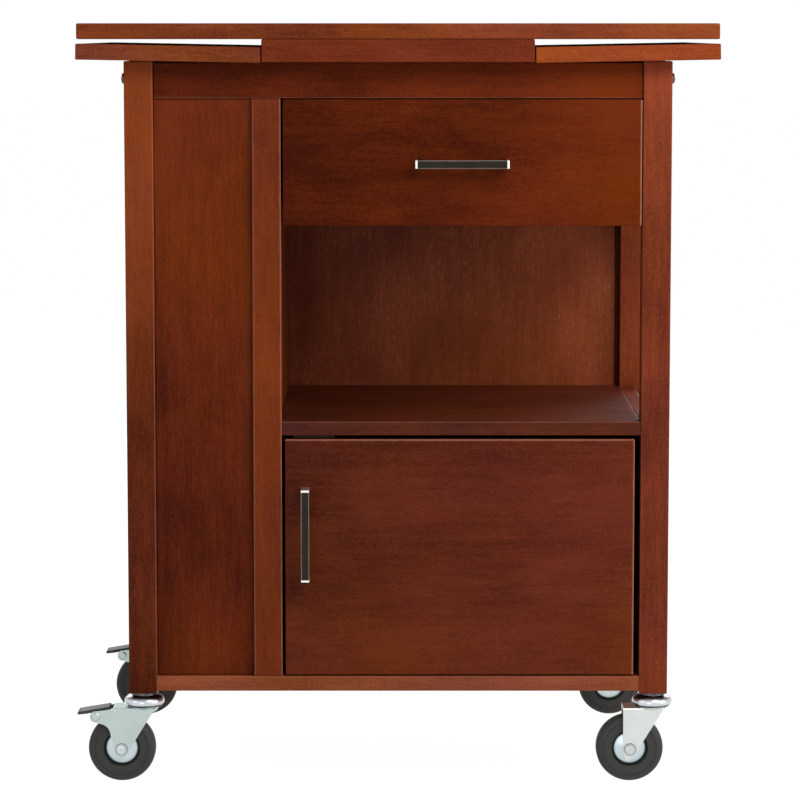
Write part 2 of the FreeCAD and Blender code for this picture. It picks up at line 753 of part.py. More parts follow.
# --- the pieces -------------------------------------------------------------------------------
def pieces():
    """Every piece by name."""
    named = {
        "front_top_rail": long_rail(-1),
        "rear_top_rail": long_rail(1),
        "left_top_rail": side_rail(-1, RAIL_LOW),
        "right_upper_panel": side_rail(1, UPPER_PANEL_LOW),
        "right_lower_panel": right_lower_panel(),
        "centre_board": centre_board(),
        "runner_bearer": runner_bearer(),
        "middle_shelf": middle_shelf(),
        "bottom_board": bottom_board(),
        "front_stile": front_stile(),
        "left_front_panel": left_front_panel(),
        "partition": partition(),
        "back_panel": back_panel(),
        "back_battens": back_battens(),
        "rack_shelves": rack_shelves(),
        "rack_rails": rack_rails(),
        "frame_bolts": frame_bolts(),
        "castor_sockets": castor_sockets(),
        "case_drawer_runners": case_drawer_runners(),
        "hinge_arms": hinge_arms(),
        "door_catch": door_catch(),
        "top_board": top_board(),
        "top_dowels": top_dowels(),
        "drawer_front": drawer_front(),
        "drawer_left_side": drawer_side(-1),
        "drawer_right_side": drawer_side(1),
        "drawer_back": drawer_back(),
        "drawer_bottom": drawer_bottom(),
        "drawer_slides": drawer_slides(),
        "drawer_pull": pull(DRAWER_PULL, False, DRAWER_FRONT[1][0], BOARD),
        "door_panel": door_panel(),
        "door_pull": pull(DOOR_PULL, True, DOOR[1][0], DOOR[1][1] - DOOR[1][0]),
        "door_strike": door_strike(),
        "hinge_cups": hinge_cups(),
    }
    for side, side_name in ((-1, "left"), (1, "right")):
        named[f"{side_name}_leaf"] = leaf(side)
        named[f"{side_name}_leaf_runners"] = leaf_runner_group(side)
        for end, end_name in ((-1, "front"), (1, "rear")):
            corner = f"{end_name}_{side_name}"
            braked = side < 0
            named[f"{corner}_leg"] = leg(side, end)
            named[f"{corner}_castor_stem"] = placed(castor_stem(), side, end)
            named[f"{corner}_castor_fork"] = placed(castor_fork(braked), side, end)
            named[f"{corner}_castor_hub"] = placed(castor_hub(), side, end)
            named[f"{corner}_castor_tyre"] = placed(castor_tyre(), side, end)
            if braked:
                named[f"{corner}_brake_pedal"] = placed(brake_pedal(), side, end)
    return named


os.makedirs("parts", exist_ok=True)
for name, shape in pieces().items():
    if not shape.isValid():
        raise ValueError(f"{name} isn't a valid shape")
    shape.exportStep(f"parts/{name}.step")
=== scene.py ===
import math

import bmesh
import bpy
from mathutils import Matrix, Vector


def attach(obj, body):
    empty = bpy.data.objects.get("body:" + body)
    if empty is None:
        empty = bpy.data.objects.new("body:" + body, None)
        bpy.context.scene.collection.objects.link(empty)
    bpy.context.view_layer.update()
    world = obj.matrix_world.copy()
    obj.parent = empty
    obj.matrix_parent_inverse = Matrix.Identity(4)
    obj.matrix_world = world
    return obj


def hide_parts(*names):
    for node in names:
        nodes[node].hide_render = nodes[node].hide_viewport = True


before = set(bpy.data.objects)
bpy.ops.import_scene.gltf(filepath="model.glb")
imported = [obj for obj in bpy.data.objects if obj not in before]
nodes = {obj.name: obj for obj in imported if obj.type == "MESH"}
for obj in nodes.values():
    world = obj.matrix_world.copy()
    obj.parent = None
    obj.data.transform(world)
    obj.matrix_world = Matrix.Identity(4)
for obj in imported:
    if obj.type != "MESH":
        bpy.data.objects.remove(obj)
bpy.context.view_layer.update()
MM = 0.001


# --- bench tools ------------------------------------------------------------------------------
def lay_down():
    """Leaves edit mode with nothing selected."""
    if bpy.context.object and bpy.context.object.mode == "EDIT":
        bpy.ops.object.mode_set(mode="OBJECT")
    bpy.ops.object.select_all(action="DESELECT")


def take(piece):
    """Selects one piece alone and makes it the active one."""
    lay_down()
    piece.select_set(True)
    bpy.context.view_layer.objects.active = piece


def open_up(piece):
    """Edit mode on one piece with nothing selected."""
    take(piece)
    bpy.ops.object.mode_set(mode="EDIT")
    bpy.ops.mesh.select_mode(type="FACE")
    bpy.ops.mesh.select_all(action="DESELECT")


def fix_place(name):
    """Names the new piece and puts its place into its mesh."""
    piece = bpy.context.object
    bpy.ops.object.transform_apply(location=True, rotation=True, scale=True)
    piece.name = name
    return piece


def middle(item):
    """The middle of an edge or a face, in millimetres."""
    points = [v.co for v in item.verts]
    return sum(points, Vector()) / len(points) / MM


def pick(piece, wanted, kind="faces"):
    """Selects the faces or edges of the open mesh for which wanted(item) is true."""
    bpy.ops.mesh.select_mode(type={"faces": "FACE", "edges": "EDGE"}[kind])
    bpy.ops.mesh.select_all(action="DESELECT")
    mesh = bmesh.from_edit_mesh(piece.data)
    for item in getattr(mesh, kind):
        if wanted(item):
            item.select_set(True)
    mesh.select_flush_mode()
    bmesh.update_edit_mesh(piece.data)


def block(name, low, high):
    """A box between two corners given in millimetres."""
    lay_down()
    low, high = Vector(low) * MM, Vector(high) * MM
    bpy.ops.mesh.primitive_cube_add(size=1, location=(low + high) / 2, scale=high - low)
    return fix_place(name)


def drum(name, radius, low, high, centre, axis="Z", sides=72):
    """A cylinder in millimetres; low and high are along the axis, centre is on the other two."""
    lay_down()
    half = (low + high) / 2
    place = {"X": (half, *centre), "Y": (centre[0], half, centre[1]), "Z": (*centre, half)}[axis]
    turn = {"X": (0, math.pi / 2, 0), "Y": (math.pi / 2, 0, 0), "Z": (0, 0, 0)}[axis]
    bpy.ops.mesh.primitive_cylinder_add(
        vertices=sides, radius=radius * MM, depth=(high - low) * MM,
        location=Vector(place) * MM, rotation=turn)
    return fix_place(name)


def inset(thickness):
    """Draws the selected faces in from their edges, in millimetres."""
    bpy.ops.mesh.inset(thickness=thickness * MM, use_even_offset=True)


def push(x=0.0, y=0.0, z=0.0):
    """Extrudes the selected faces and moves them, in millimetres."""
    bpy.ops.mesh.extrude_region_move(TRANSFORM_OT_translate={"value": Vector((x, y, z)) * MM})


def nudge(x=0.0, y=0.0, z=0.0):
    """Moves what is selected, in millimetres."""
    bpy.ops.transform.translate(value=Vector((x, y, z)) * MM)


def resize_about(point, factors):
    """Scales what is selected about a point given in millimetres."""
    bpy.ops.transform.resize(value=factors, center_override=Vector(point) * MM)


def round_edges(width, steps):
    """Rounds the selected edges over a width in millimetres."""
    bpy.ops.mesh.bevel(offset=width * MM, segments=steps, profile=0.5, affect="EDGES")


def score(point, normal):
    """Adds edges where a plane crosses the open piece."""
    bpy.ops.mesh.select_all(action="SELECT")
    bpy.ops.mesh.bisect(plane_co=Vector(point) * MM, plane_no=normal)


def slice_away(piece, point, normal):
    """Cuts off what lies on the far side of a plane, closes the cut and leaves the piece open."""
    open_up(piece)
    bpy.ops.mesh.select_all(action="SELECT")
    bpy.ops.mesh.bisect(plane_co=Vector(point) * MM, plane_no=normal, clear_outer=True, use_fill=True)


def carve(piece, tool):
    """Cuts the tool's shape out of the piece and throws the tool away."""
    cut = piece.modifiers.new("carve", "BOOLEAN")
    cut.operation, cut.object, cut.solver = "DIFFERENCE", tool, "EXACT"
    take(piece)
    bpy.ops.object.modifier_apply(modifier=cut.name)
    bpy.data.objects.remove(tool)


def ease(piece, width, steps=2, angle=35):
    """Takes the sharpness off every edge that is steeper than the angle."""
    soft = piece.modifiers.new("ease", "BEVEL")
    soft.width, soft.segments = width * MM, steps
    soft.limit_method, soft.angle_limit = "ANGLE", math.radians(angle)
    take(piece)
    bpy.ops.object.modifier_apply(modifier=soft.name)


def smooth(piece, angle=32):
    """Rounds the shading over small turns, with the large faces kept flat."""
    take(piece)
    bpy.ops.object.shade_smooth_by_angle(angle=math.radians(angle))
    level = piece.modifiers.new("level", "WEIGHTED_NORMAL")
    level.weight, level.keep_sharp = 100, True
    bpy.ops.object.modifier_apply(modifier=level.name)


def put_together(name, pieces):
    """Joins pieces into the first of them."""
    lay_down()
    for piece in pieces:
        piece.select_set(True)
    bpy.context.view_layer.objects.active = pieces[0]
    bpy.ops.object.join()
    pieces[0].name = name
    return pieces[0]


def copy_at(piece, name, shift):
    """A copy with its own mesh, moved by a shift in millimetres."""
    other = piece.copy()
    other.data = piece.data.copy()
    other.name = name
    bpy.context.scene.collection.objects.link(other)
    take(other)
    other.location = Vector(shift) * MM
    bpy.ops.object.transform_apply(location=True, rotation=False, scale=False)
    return other


def fit(piece, body, node, finish):
    """Hangs a finished piece on its body in place of a CAD node."""
    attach(piece, body)
    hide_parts(node)
    piece.data.materials.clear()
    piece.data.materials.append(finish)


# --- finishes ---------------------------------------------------------------------------------
def srgb(red, green, blue):
    """A colour as read from a screen, 0 to 255, in the linear values that a shader takes."""
    values = [c / 255 for c in (red, green, blue)]
    return [c / 12.92 if c <= 0.04045 else ((c + 0.055) / 1.055) ** 2.4 for c in values] + [1.0]


class Tree:
    """A node tree under construction."""

    def __init__(self, tree):
        self.tree = tree

    def add(self, kind, **settings):
        node = self.tree.nodes.new(kind)
        for key, value in settings.items():
            setattr(node, key, value)
        return node

    def link(self, source, target):
        self.tree.links.new(source, target)

    def feed(self, socket, value):
        """Gives a socket a number or colour of its own, or links another socket to it."""
        if isinstance(value, (int, float, list, tuple)):
            socket.default_value = value
        else:
            self.link(value, socket)

    def noise(self, vector, scale, detail=3.0, rough=0.55, distortion=0.0):
        node = self.add("ShaderNodeTexNoise")
        node.inputs["Scale"].default_value = scale
        node.inputs["Detail"].default_value = detail
        node.inputs["Roughness"].default_value = rough
        node.inputs["Distortion"].default_value = distortion
        self.link(vector, node.inputs["Vector"])
        return node.outputs["Fac"]

    def maths(self, operation, first, second, clamp=False):
        node = self.add("ShaderNodeMath", operation=operation, use_clamp=clamp)
        self.feed(node.inputs[0], first)
        self.feed(node.inputs[1], second)
        return node.outputs[0]

    def vector_maths(self, operation, first, second):
        node = self.add("ShaderNodeVectorMath", operation=operation)
        self.feed(node.inputs[0], first)
        self.feed(node.inputs[1], second)
        return node.outputs["Value" if operation == "DOT_PRODUCT" else "Vector"]

    def stretched(self, vector, factors):
        return self.vector_maths("MULTIPLY", vector, factors)

    def spread(self, value, low, high, to_low=0.0, to_high=1.0):
        """Carries a value over from one span to another, held at both ends."""
        node = self.add("ShaderNodeMapRange")
        self.link(value, node.inputs["Value"])
        for key, end in (("From Min", low), ("From Max", high), ("To Min", to_low), ("To Max", to_high)):
            self.feed(node.inputs[key], end)
        return node.outputs["Result"]

    def scaled(self, colour, amount):
        """A colour made deeper or paler by a value that changes over the surface."""
        node = self.add("ShaderNodeVectorMath", operation="SCALE")
        node.inputs[0].default_value = srgb(*colour)[:3]
        self.link(amount, node.inputs["Scale"])
        return node.outputs[0]

    def blend(self, amount, first, second, mode="MIX"):
        node = self.add("ShaderNodeMix", data_type="RGBA", blend_type=mode)
        for socket, value in zip((node.inputs[0], node.inputs[6], node.inputs[7]), (amount, first, second)):
            self.feed(socket, value)
        return node.outputs[2]


def new_group(name, inputs, outputs):
    """A shared effect: inputs are (name, kind, value), outputs are (name, kind)."""
    group = bpy.data.node_groups.new(name, "ShaderNodeTree")
    for socket, kind, value in inputs:
        made = group.interface.new_socket(socket, in_out="INPUT", socket_type=kind)
        if value is not None:
            made.default_value = value
    for socket, kind in outputs:
        group.interface.new_socket(socket, in_out="OUTPUT", socket_type=kind)
    tree = Tree(group)
    return tree, tree.add("NodeGroupInput"), tree.add("NodeGroupOutput")


REDDER, MORE_ORANGE = (1.0, 0.96, 1.5, 1.0), (1.0, 1.02, 0.5, 1.0)
PORE_DARK = (0.03, 0.008, 0.003, 1.0)
FLECK_PALE = (176, 128, 96)


def make_stained_wood():
    """Wood under a translucent stain, with its grain along the vector's X.

    Tone goes from deep, 0, to pale, 1. Figure is how lively it is, Hue how far it drifts between red and
    orange, and Flecks how strongly pale glints show.
    """
    tree, into, out = new_group(
        "stained wood",
        [("Vector", "NodeSocketVector", None), ("Pale", "NodeSocketColor", None),
         ("Deep", "NodeSocketColor", None), ("Figure", "NodeSocketFloat", 1.0),
         ("Tone", "NodeSocketFloat", 0.5), ("Flecks", "NodeSocketFloat", 0.0),
         ("Hue", "NodeSocketFloat", 1.0)],
        [("Color", "NodeSocketColor"), ("Roughness", "NodeSocketFloat"), ("Height", "NodeSocketFloat")])
    vector = into.outputs["Vector"]
    broad = tree.noise(tree.stretched(vector, (1.0, 1.3, 1.3)), 3.6, 1.0, 0.5)
    clouds = tree.noise(tree.stretched(vector, (1.0, 1.7, 1.7)), 11.0, 3.0, 0.5, 0.5)
    streaks = tree.noise(tree.stretched(vector, (1.0, 13.0, 13.0)), 11.0, 4.0, 0.6, 0.3)
    fibres = tree.noise(tree.stretched(vector, (1.0, 14.0, 14.0)), 60.0, 3.0, 0.65)
    speckle = tree.noise(tree.stretched(vector, (1.0, 1.9, 1.9)), 330.0, 2.0, 0.7)
    rings = tree.add("ShaderNodeTexWave", wave_type="BANDS", bands_direction="Y", wave_profile="SIN")
    for key, value in (("Scale", 14.0), ("Distortion", 11.0), ("Detail", 3.0), ("Detail Scale", 1.1)):
        rings.inputs[key].default_value = value
    tree.link(tree.stretched(vector, (0.22, 1.0, 1.0)), rings.inputs["Vector"])
    layers = ((clouds, 0.8), (streaks, 0.7), (fibres, 0.8), (speckle, 1.1), (rings.outputs["Fac"], 0.12))
    tone = tree.maths("MULTIPLY", tree.maths("SUBTRACT", broad, 0.5), 1.3)
    for layer, weight in layers:
        part = tree.maths("MULTIPLY", tree.maths("SUBTRACT", layer, 0.5), weight)
        tone = tree.maths("ADD", tone, part)
    tone = tree.maths("MULTIPLY", tone, into.outputs["Figure"])
    tone = tree.maths("ADD", tone, into.outputs["Tone"], clamp=True)
    pores = tree.noise(tree.stretched(vector, (1.0, 12.0, 12.0)), 170.0, 1.0, 0.5)
    pores = tree.spread(pores, 0.62, 0.74)
    colour = tree.blend(tone, into.outputs["Deep"], into.outputs["Pale"])
    hue = tree.spread(tree.noise(tree.stretched(vector, (0.8, 1.0, 1.0)), 5.3, 2.0, 0.5), 0.35, 0.65)
    tint = tree.blend(hue, REDDER, MORE_ORANGE)
    colour = tree.blend(into.outputs["Hue"], colour, tint, "MULTIPLY")
    colour = tree.blend(tree.maths("MULTIPLY", pores, 0.45), colour, PORE_DARK)
    glints = tree.noise(tree.stretched(vector, (1.0, 9.0, 9.0)), 92.0, 3.0, 0.6, 0.25)
    glints = tree.maths("MULTIPLY", tree.spread(glints, 0.57, 0.72), into.outputs["Flecks"])
    glints = tree.maths("MULTIPLY", glints, tree.spread(clouds, 0.38, 0.6))
    colour = tree.blend(glints, colour, srgb(*FLECK_PALE))
    tree.link(colour, out.inputs["Color"])
    tree.link(tree.spread(tone, 0.0, 1.0, 0.50, 0.40), out.inputs["Roughness"])
    height = tree.maths("SUBTRACT", tree.maths("MULTIPLY", fibres, 0.5), pores)
    tree.link(height, out.inputs["Height"])
    return tree.tree


def make_edge_highlights():
    """1 along the edges of a box between two corners, fading out over a width: where painted highlights lie on
    lit arrises.
    """
    tree, into, out = new_group(
        "painted edge highlights",
        [("Vector", "NodeSocketVector", None), ("Low", "NodeSocketVector", None),
         ("High", "NodeSocketVector", None), ("Width", "NodeSocketFloat", 1.5 * MM)],
        [("Mask", "NodeSocketFloat")])
    vector = into.outputs["Vector"]
    above = tree.vector_maths("SUBTRACT", vector, into.outputs["Low"])
    below = tree.vector_maths("SUBTRACT", into.outputs["High"], vector)
    parts = tree.add("ShaderNodeSeparateXYZ")
    tree.link(tree.vector_maths("MINIMUM", above, below), parts.inputs[0])
    x, y, z = parts.outputs
    # An edge is near where two of the three distances are small, so the middle one of them counts.
    either = tree.maths("MINIMUM", tree.maths("MAXIMUM", x, y), z)
    second = tree.maths("MAXIMUM", tree.maths("MINIMUM", x, y), either)
    rough = tree.maths("ADD", tree.noise(vector, 70.0, 3.0, 0.6), 0.5)
    reach = tree.maths("MULTIPLY", into.outputs["Width"], rough)
    mask = tree.maths("SUBTRACT", 1.0, tree.maths("DIVIDE", second, reach), clamp=True)
    tree.link(mask, out.inputs["Mask"])
    return tree.tree


def make_hand_wear():
    """Faint smears and dust that break up a gloss."""
    tree, into, out = new_group(
        "hand wear",
        [("Vector", "NodeSocketVector", None), ("Low", "NodeSocketFloat", 0.3),
         ("High", "NodeSocketFloat", 0.5)],
        [("Roughness", "NodeSocketFloat"), ("Mask", "NodeSocketFloat")])
    wide = tree.noise(into.outputs["Vector"], 26.0, 4.0, 0.6, 0.6)
    fine = tree.noise(into.outputs["Vector"], 420.0, 2.0, 0.6)
    mask = tree.maths("ADD", tree.maths("MULTIPLY", wide, 0.7), tree.maths("MULTIPLY", fine, 0.3), clamp=True)
    gloss = tree.spread(mask, 0.3, 0.7, into.outputs["Low"], into.outputs["High"])
    tree.link(gloss, out.inputs["Roughness"])
    tree.link(mask, out.inputs["Mask"])
    return tree.tree


stained_wood = make_stained_wood()
hand_wear = make_hand_wear()
edge_highlights = make_edge_highlights()


def new_finish(name):
    """A new material with its tree, its shader and the place on the object."""
    material = bpy.data.materials.new(name)
    material.use_nodes = True
    tree = Tree(material.node_tree)
    shader = material.node_tree.nodes["Principled BSDF"]
    place = tree.add("ShaderNodeTexCoord").outputs["Object"]
    return material, tree, shader, place


def placed_group(tree, group, vector, **values):
    """A shared effect placed in a material with its own values."""
    node = tree.add("ShaderNodeGroup", node_tree=group)
    tree.link(vector, node.inputs["Vector"])
    for key, value in values.items():
        node.inputs[key].default_value = value
    return node


def bumped(tree, shader, height, strength, distance):
    """Fine relief on the surface; the distance is in millimetres."""
    bump = tree.add("ShaderNodeBump")
    bump.inputs["Strength"].default_value = strength
    bump.inputs["Distance"].default_value = distance * MM
    tree.link(height, bump.inputs["Height"])
    tree.link(bump.outputs["Normal"], shader.inputs["Normal"])


# Sizes of the solids that the finishes and the new pieces keep to, in millimetres.
FRONT_FACE = -199.0
PULL_HALF, PULL_WIDE, PULL_STAND = 52.25, 4.8, 28.0  # half its length, half its width, its reach
DRAWER_PULL, DOOR_PULL = (71.2, 702.6), (-104.3, 286.7)
LEG_X, LEG_Y = 289.0, 184.0
TRAIL, WHEEL = 25.5, 38.1  # the axle's distance behind the stem, and its height
AXLE_X = {"left": -LEG_X - TRAIL, "right": LEG_X - TRAIL}

# Pale colour of the painted highlights along lit arrises.
EDGE_HIGHLIGHT = (190, 128, 104)
# The turn that brings the grain from the pattern's X to a board's own axis.
ALONG = {"X": (0, 0, 0), "Y": (0, 0, math.pi / 2), "Z": (0, math.pi / 2, 0)}


def box_of(piece):
    """The two corners of a piece's own box, in metres."""
    corners = [v.co for v in piece.data.vertices]
    return [tuple(pick_one(c[axis] for c in corners) for axis in range(3)) for pick_one in (min, max)]


def highlit_sides(box, sides):
    """A box drawn out by a metre on each side that gets no painted highlight, so that its edges fall outside
    the piece.
    """
    low, high = (list(corner) for corner in box)
    for side, corner, axis, way in (("left", low, 0, -1), ("right", high, 0, 1),
                                    ("bottom", low, 2, -1), ("top", high, 2, 1)):
        if side not in sides:
            corner[axis] += way
    return low, high


def edge_highlighted(tree, colour, place, box, width, strength, thin):
    """Lightens a colour along the edges of a box: a painted highlight on lit arrises."""
    edges = placed_group(tree, edge_highlights, place, Low=box[0], High=box[1], Width=width * MM)
    return tree.blend(tree.maths("MULTIPLY", edges.outputs["Mask"], strength), colour, srgb(*thin))


def wood(name, grain, deep, pale, start, figure=1.0, gloss=0.12, flecks=0.0, hue=1.0, box=None, painted_light_drift=None,
         wear_and_edge_light=0.0, sides=""):
    """A stained board: the axis that its grain follows, two stain colours, and where its figure starts.

    The tone's climb along each axis, per metre from the middle of the board's box, is painted light and shade,
    paler where the board is lit more. The edge strength is how strongly painted highlights lighten the arrises
    along the sides that are named.
    """
    material, tree, shader, place = new_finish(name)
    turned = tree.add("ShaderNodeMapping")
    turned.inputs["Location"].default_value = start
    turned.inputs["Rotation"].default_value = ALONG[grain]
    tree.link(place, turned.inputs["Vector"])
    board = placed_group(tree, stained_wood, turned.outputs["Vector"],
                         Deep=srgb(*deep), Pale=srgb(*pale), Figure=figure, Flecks=flecks, Hue=hue)
    # Painted light and shade: the tone climbs across the board towards where it is lit more.
    if painted_light_drift:
        centre = [(low + high) / 2 for low, high in zip(*box)]
        away = tree.vector_maths("SUBTRACT", place, centre)
        climb = tree.vector_maths("DOT_PRODUCT", away, painted_light_drift)
        tree.link(tree.maths("ADD", climb, 0.5), board.inputs["Tone"])
    colour = board.outputs["Color"]
    # Painted highlights along the arrises of the named sides.
    if wear_and_edge_light:
        colour = edge_highlighted(tree, colour, place, highlit_sides(box, sides), 1.4 + wear_and_edge_light, wear_and_edge_light, EDGE_HIGHLIGHT)
    tree.link(colour, shader.inputs["Base Color"])
    tree.link(board.outputs["Roughness"], shader.inputs["Roughness"])
    shader.inputs["Specular IOR Level"].default_value = gloss
    bumped(tree, shader, board.outputs["Height"], 0.3, 0.1)
    return material


def dress_metal(tree, shader, place, wear_and_edge_light, colour, brushed=None):
    """Wires up a bare or plated metal; brushed names the axis that its fine lines follow."""
    tree.link(colour, shader.inputs["Base Color"])
    tree.link(wear_and_edge_light.outputs["Roughness"], shader.inputs["Roughness"])
    shader.inputs["Metallic"].default_value = 1.0
    if brushed:
        factors = [260.0 if axis != brushed else 5.0 for axis in "XYZ"]
        bumped(tree, shader, tree.noise(tree.stretched(place, factors), 9.0, 2.0), 0.25, 0.05)
    else:
        bumped(tree, shader, tree.noise(place, 700.0, 2.0), 0.08, 0.02)


def metal(name, colour, low, high, brushed=None):
    """A plain metal whose roughness lies between low and high."""
    material, tree, shader, place = new_finish(name)
    wear_and_edge_light = placed_group(tree, hand_wear, place, Low=low, High=high)
    tint = tree.spread(wear_and_edge_light.outputs["Mask"], 0.25, 0.75, 0.90, 1.06)
    dress_metal(tree, shader, place, wear_and_edge_light, tree.scaled(colour, tint), brushed)
    return material


def bar_with_painted_highlights(name, centre, upright):
    """Brushed nickel of a pull's bar, painted dark for the dark room that it mirrors, with painted highlights
    where its ends are turned in and along its arrises.
    """
    material, tree, shader, place = new_finish(name)
    wear_and_edge_light = placed_group(tree, hand_wear, place, Low=0.30, High=0.42)
    along, half = ("Z", (PULL_WIDE, PULL_HALF)) if upright else ("X", (PULL_HALF, PULL_WIDE))
    reach = tree.add("ShaderNodeSeparateXYZ")
    tree.link(place, reach.inputs[0])
    way = tree.maths("SUBTRACT", reach.outputs[along], centre[1 if upright else 0] * MM)
    ends = tree.spread(tree.maths("ABSOLUTE", way, 0.0), (PULL_HALF - 2.7) * MM, (PULL_HALF - 2.3) * MM)
    low = [(centre[0] - half[0]) * MM, (FRONT_FACE - PULL_STAND) * MM, (centre[1] - half[1]) * MM]
    high = [(centre[0] + half[0]) * MM, -0.1, (centre[1] + half[1]) * MM]
    tint = tree.spread(wear_and_edge_light.outputs["Mask"], 0.25, 0.75, 0.86, 1.14)
    # A dark base standing for the dark room that the bar mirrors: painted reflection.
    colour = tree.scaled((44, 40, 36), tint)
    # Painted highlights along the arrises and where the ends turn in.
    colour = edge_highlighted(tree, colour, place, (low, high), 1.3, 0.55, (190, 176, 160))
    colour = tree.blend(ends, colour, srgb(236, 232, 224))
    dress_metal(tree, shader, place, wear_and_edge_light, colour, along)
    return material


def chrome_with_painted_reflections(name):
    """Bright plating with painted reflections: dark under the leg and at the rim, bright in a band between, as
    chrome mirrors a lit room.
    """
    material, tree, shader, place = new_finish(name)
    wear_and_edge_light = placed_group(tree, hand_wear, place, Low=0.20, High=0.30)
    parts = tree.add("ShaderNodeSeparateXYZ")
    tree.link(place, parts.inputs[0])
    # Painted reflections by height: dark under the leg and at the rim, bright in the band between.
    above_rim = tree.spread(parts.outputs["Z"], 88.4 * MM, 89.8 * MM)
    below_neck = tree.spread(parts.outputs["Z"], 96.8 * MM, 94.2 * MM)
    painted_reflection_band = tree.maths("MINIMUM", above_rim, below_neck)
    shade = tree.blend(wear_and_edge_light.outputs["Mask"], srgb(66, 63, 64), srgb(92, 90, 92))
    bright = tree.blend(wear_and_edge_light.outputs["Mask"], srgb(186, 189, 193), srgb(216, 219, 222))
    dress_metal(tree, shader, place, wear_and_edge_light, tree.blend(painted_reflection_band, shade, bright))
    return material


def zinc_with_painted_rim_shade(name, axle_x, colour, rim_shade_colour, rim_start, rim_end):
    """Bright zinc of a round piece on a wheel's axle, darker towards its rim: painted shade where the parts
    around it shadow it.
    """
    material, tree, shader, place = new_finish(name)
    wear_and_edge_light = placed_group(tree, hand_wear, place, Low=0.26, High=0.36)
    away = tree.vector_maths("SUBTRACT", place, (axle_x * MM, 0, WHEEL * MM))
    reach = tree.add("ShaderNodeVectorMath", operation="LENGTH")
    tree.link(tree.stretched(away, (1, 0, 1)), reach.inputs[0])
    # Painted shade towards the rim.
    rim = tree.spread(reach.outputs["Value"], rim_start * MM, rim_end * MM)
    worn = tree.blend(wear_and_edge_light.outputs["Mask"], srgb(*[0.94 * c for c in colour]), srgb(*colour))
    dress_metal(tree, shader, place, wear_and_edge_light, tree.blend(rim, worn, srgb(*rim_shade_colour)))
    return material


def moulded(name, colour, low, high, grain_size, grain_depth):
    """Rubber or plastic with a fine moulded grain."""
    material, tree, shader, place = new_finish(name)
    wear_and_edge_light = placed_group(tree, hand_wear, place, Low=low, High=high)
    dust = tree.spread(wear_and_edge_light.outputs["Mask"], 0.3, 0.75, 0.92, 1.12)
    tree.link(tree.scaled(colour, dust), shader.inputs["Base Color"])
    tree.link(wear_and_edge_light.outputs["Roughness"], shader.inputs["Roughness"])
    shader.inputs["Specular IOR Level"].default_value = 0.3
    bumped(tree, shader, tree.noise(place, grain_size, 3.0, 0.6), 0.5, grain_depth)
    return material


# Deep and pale colour of each stain, as read from a screen. The three leg stains are one stain painted with
# different light and shade; the left leaf's paler, greyer stain holds a painted sheen; the back's and the
# edge's paler stains hold painted light.
STAIN = {
    "left leg": ((72, 23, 4), (146, 67, 29)),
    "right leg": ((91, 31, 9), (154, 70, 31)),
    "rear leg": ((87, 29, 9), (149, 67, 31)),
    "panel": ((73, 20, 3), (123, 50, 14)),
    "stile": ((87, 28, 4), (136, 57, 16)),
    "rail": ((66, 18, 2), (118, 46, 12)),
    "drawer": ((64, 16, 1), (112, 43, 10)),
    "door": ((65, 18, 6), (113, 48, 24)),
    "back": ((91, 33, 15), (156, 76, 38)),
    "shelf": ((62, 20, 11), (109, 47, 29)),
    "edge": ((114, 52, 31), (171, 93, 59)),
    "top": ((90, 30, 6), (152, 72, 30)),
    "centre": ((82, 24, 6), (130, 55, 24)),
    "leaf": ((111, 40, 10), (165, 79, 30)),
    "left leaf": ((101, 38, 18), (153, 76, 42)),
    "inner": ((78, 27, 10), (122, 57, 28)),
    "inner side": ((64, 20, 8), (108, 48, 22)),
}
# Each board's stain, the axis that its grain follows, and where its figure starts.
BOARDS = {
    "front_left_leg": ("left leg", "Z", (0.31, 0.02, 0.11)),
    "front_right_leg": ("right leg", "Z", (0.87, 0.13, 0.41)),
    "rear_left_leg": ("rear leg", "Z", (1.43, 0.21, 0.63)),
    "rear_right_leg": ("rear leg", "Z", (1.91, 0.33, 0.87)),
    "front_top_rail": ("rail", "X", (2.37, 0.47, 0.29)),
    "rear_top_rail": ("rail", "X", (2.83, 0.59, 0.53)),
    "left_top_rail": ("rail", "Y", (3.29, 0.71, 0.77)),
    "right_upper_panel": ("panel", "Y", (3.71, 0.83, 1.01)),
    "right_lower_panel": ("panel", "Y", (4.19, 0.97, 1.23)),
    "centre_board": ("centre", "X", (4.61, 1.09, 1.47)),
    "runner_bearer": ("inner", "Y", (5.03, 1.21, 1.71)),
    "middle_shelf": ("shelf", "X", (5.51, 1.33, 1.93)),
    "bottom_board": ("edge", "X", (5.93, 1.47, 2.17)),
    "front_stile": ("stile", "Z", (6.37, 1.59, 2.41)),
    "left_front_panel": ("panel", "Z", (6.83, 1.71, 2.63)),
    "partition": ("inner side", "Z", (7.27, 1.83, 2.87)),
    "back_panel": ("back", "Z", (7.71, 1.97, 3.11)),
    "back_battens": ("inner", "Z", (8.17, 2.09, 3.37)),
    "rack_shelves": ("shelf", "Y", (8.61, 2.23, 3.59)),
    "top_board": ("top", "X", (9.07, 2.37, 3.83)),
    "left_leaf": ("left leaf", "X", (9.51, 2.51, 4.07)),
    "right_leaf": ("leaf", "X", (9.97, 2.67, 4.29)),
    "left_leaf_runners": ("inner", "X", (10.43, 2.81, 4.53)),
    "right_leaf_runners": ("inner", "X", (10.87, 2.93, 4.77)),
    "top_dowels": ("inner", "Z", (11.31, 3.07, 5.01)),
    "drawer_front": ("drawer", "X", (11.77, 3.19, 5.23)),
    "door_panel": ("door", "X", (12.23, 3.31, 5.47)),
}
